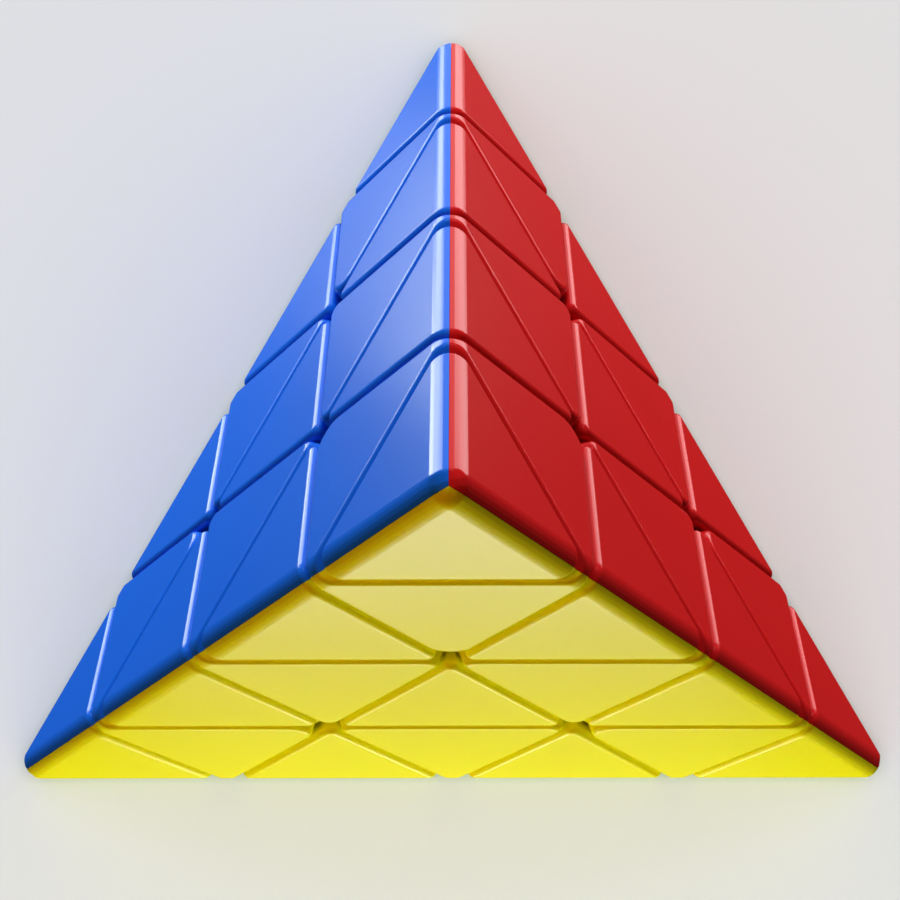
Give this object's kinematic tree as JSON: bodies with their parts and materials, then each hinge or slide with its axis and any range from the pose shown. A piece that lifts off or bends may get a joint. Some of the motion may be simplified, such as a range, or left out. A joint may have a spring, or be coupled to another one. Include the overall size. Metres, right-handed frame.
{
  "type": "pyramid twisty puzzle",
  "caption": "Stickerless pyramid twisty puzzle with turning corner caps and tips, on a spring-loaded core with arms.",
  "frame": {"origin": "centre of the core, where all four turning axes meet, which is also the centroid of the pyramid", "axes": "+Z from the origin to the apex, which points up; the base face is a horizontal plane below the origin; +Y towards the back vertex of the base; the front base ridge runs along X"},
  "size_m": [0.0968, 0.0844, 0.0799],
  "materials": {
    "plastic_blue": "moulded, satin gloss",
    "plastic_red": "moulded, satin gloss",
    "plastic_yellow": "moulded, satin gloss",
    "plastic_green": "moulded, satin gloss",
    "plastic_dark": "moulded, fine texture",
    "plastic_white": "moulded, fine texture",
    "steel": "zinc plated"
  },
  "bodies": {
    "middle_block": {"core": "plastic_white", "inner_corner_apex": "plastic_dark", "core_screw_apex": "steel", "spring_washer_apex": "steel", "face_centre_back_left_right": "plastic_green", "middle_edge_apex_back": "plastic_blue", "middle_edge_apex_left": "plastic_blue", "middle_edge_apex_right": "plastic_red", "inner_corner_back": "plastic_dark", "core_screw_back": "steel", "spring_washer_back": "steel", "face_centre_apex_left_right": "plastic_yellow", "middle_edge_back_left": "plastic_blue", "middle_edge_back_right": "plastic_red", "inner_corner_left": "plastic_dark", "core_screw_left": "steel", "spring_washer_left": "steel", "face_centre_apex_back_right": "plastic_red", "middle_edge_left_right": "plastic_yellow", "inner_corner_right": "plastic_dark", "core_screw_right": "steel", "spring_washer_right": "steel", "face_centre_apex_back_left": "plastic_blue"},
    "corner_apex": {"tip_apex": "plastic_blue", "tip_pin_apex": "plastic_dark"},
    "cap_apex": {"axial_apex": "plastic_blue", "core_spring_apex": "steel", "wing_apex_back": "plastic_blue", "wing_apex_left": "plastic_blue", "wing_apex_right": "plastic_red"},
    "corner_back": {"tip_back": "plastic_blue", "tip_pin_back": "plastic_dark"},
    "cap_back": {"axial_back": "plastic_blue", "core_spring_back": "steel", "wing_back_apex": "plastic_blue", "wing_back_left": "plastic_blue", "wing_back_right": "plastic_red"},
    "corner_left": {"tip_left": "plastic_blue", "tip_pin_left": "plastic_dark"},
    "cap_left": {"axial_left": "plastic_blue", "core_spring_left": "steel", "wing_left_apex": "plastic_blue", "wing_left_back": "plastic_blue", "wing_left_right": "plastic_yellow"},
    "corner_right": {"tip_right": "plastic_red", "tip_pin_right": "plastic_dark"},
    "cap_right": {"axial_right": "plastic_red", "core_spring_right": "steel", "wing_right_apex": "plastic_red", "wing_right_back": "plastic_red", "wing_right_left": "plastic_yellow"}
  },
  "joints": [
    {"name": "cap_turn_apex", "type": "hinge", "parent": "middle_block", "child": "cap_apex", "pos_m": [0, 0, 0], "axis": [0, 0, 1], "continuous": true},
    {"name": "cap_turn_back", "type": "hinge", "parent": "middle_block", "child": "cap_back", "pos_m": [0, 0, 0], "axis": [0, 0.9428, -0.3333], "continuous": true},
    {"name": "cap_turn_left", "type": "hinge", "parent": "middle_block", "child": "cap_left", "pos_m": [0, 0, 0], "axis": [-0.8165, -0.4714, -0.3333], "continuous": true},
    {"name": "cap_turn_right", "type": "hinge", "parent": "middle_block", "child": "cap_right", "pos_m": [0, 0, 0], "axis": [0.8165, -0.4714, -0.3333], "continuous": true},
    {"name": "tip_turn_apex", "type": "hinge", "parent": "cap_apex", "child": "corner_apex", "pos_m": [0, 0, 0], "axis": [0, 0, 1], "continuous": true},
    {"name": "tip_turn_back", "type": "hinge", "parent": "cap_back", "child": "corner_back", "pos_m": [0, 0, 0], "axis": [0, 0.9428, -0.3333], "continuous": true},
    {"name": "tip_turn_left", "type": "hinge", "parent": "cap_left", "child": "corner_left", "pos_m": [0, 0, 0], "axis": [-0.8165, -0.4714, -0.3333], "continuous": true},
    {"name": "tip_turn_right", "type": "hinge", "parent": "cap_right", "child": "corner_right", "pos_m": [0, 0, 0], "axis": [0.8165, -0.4714, -0.3333], "continuous": true}
  ]
}
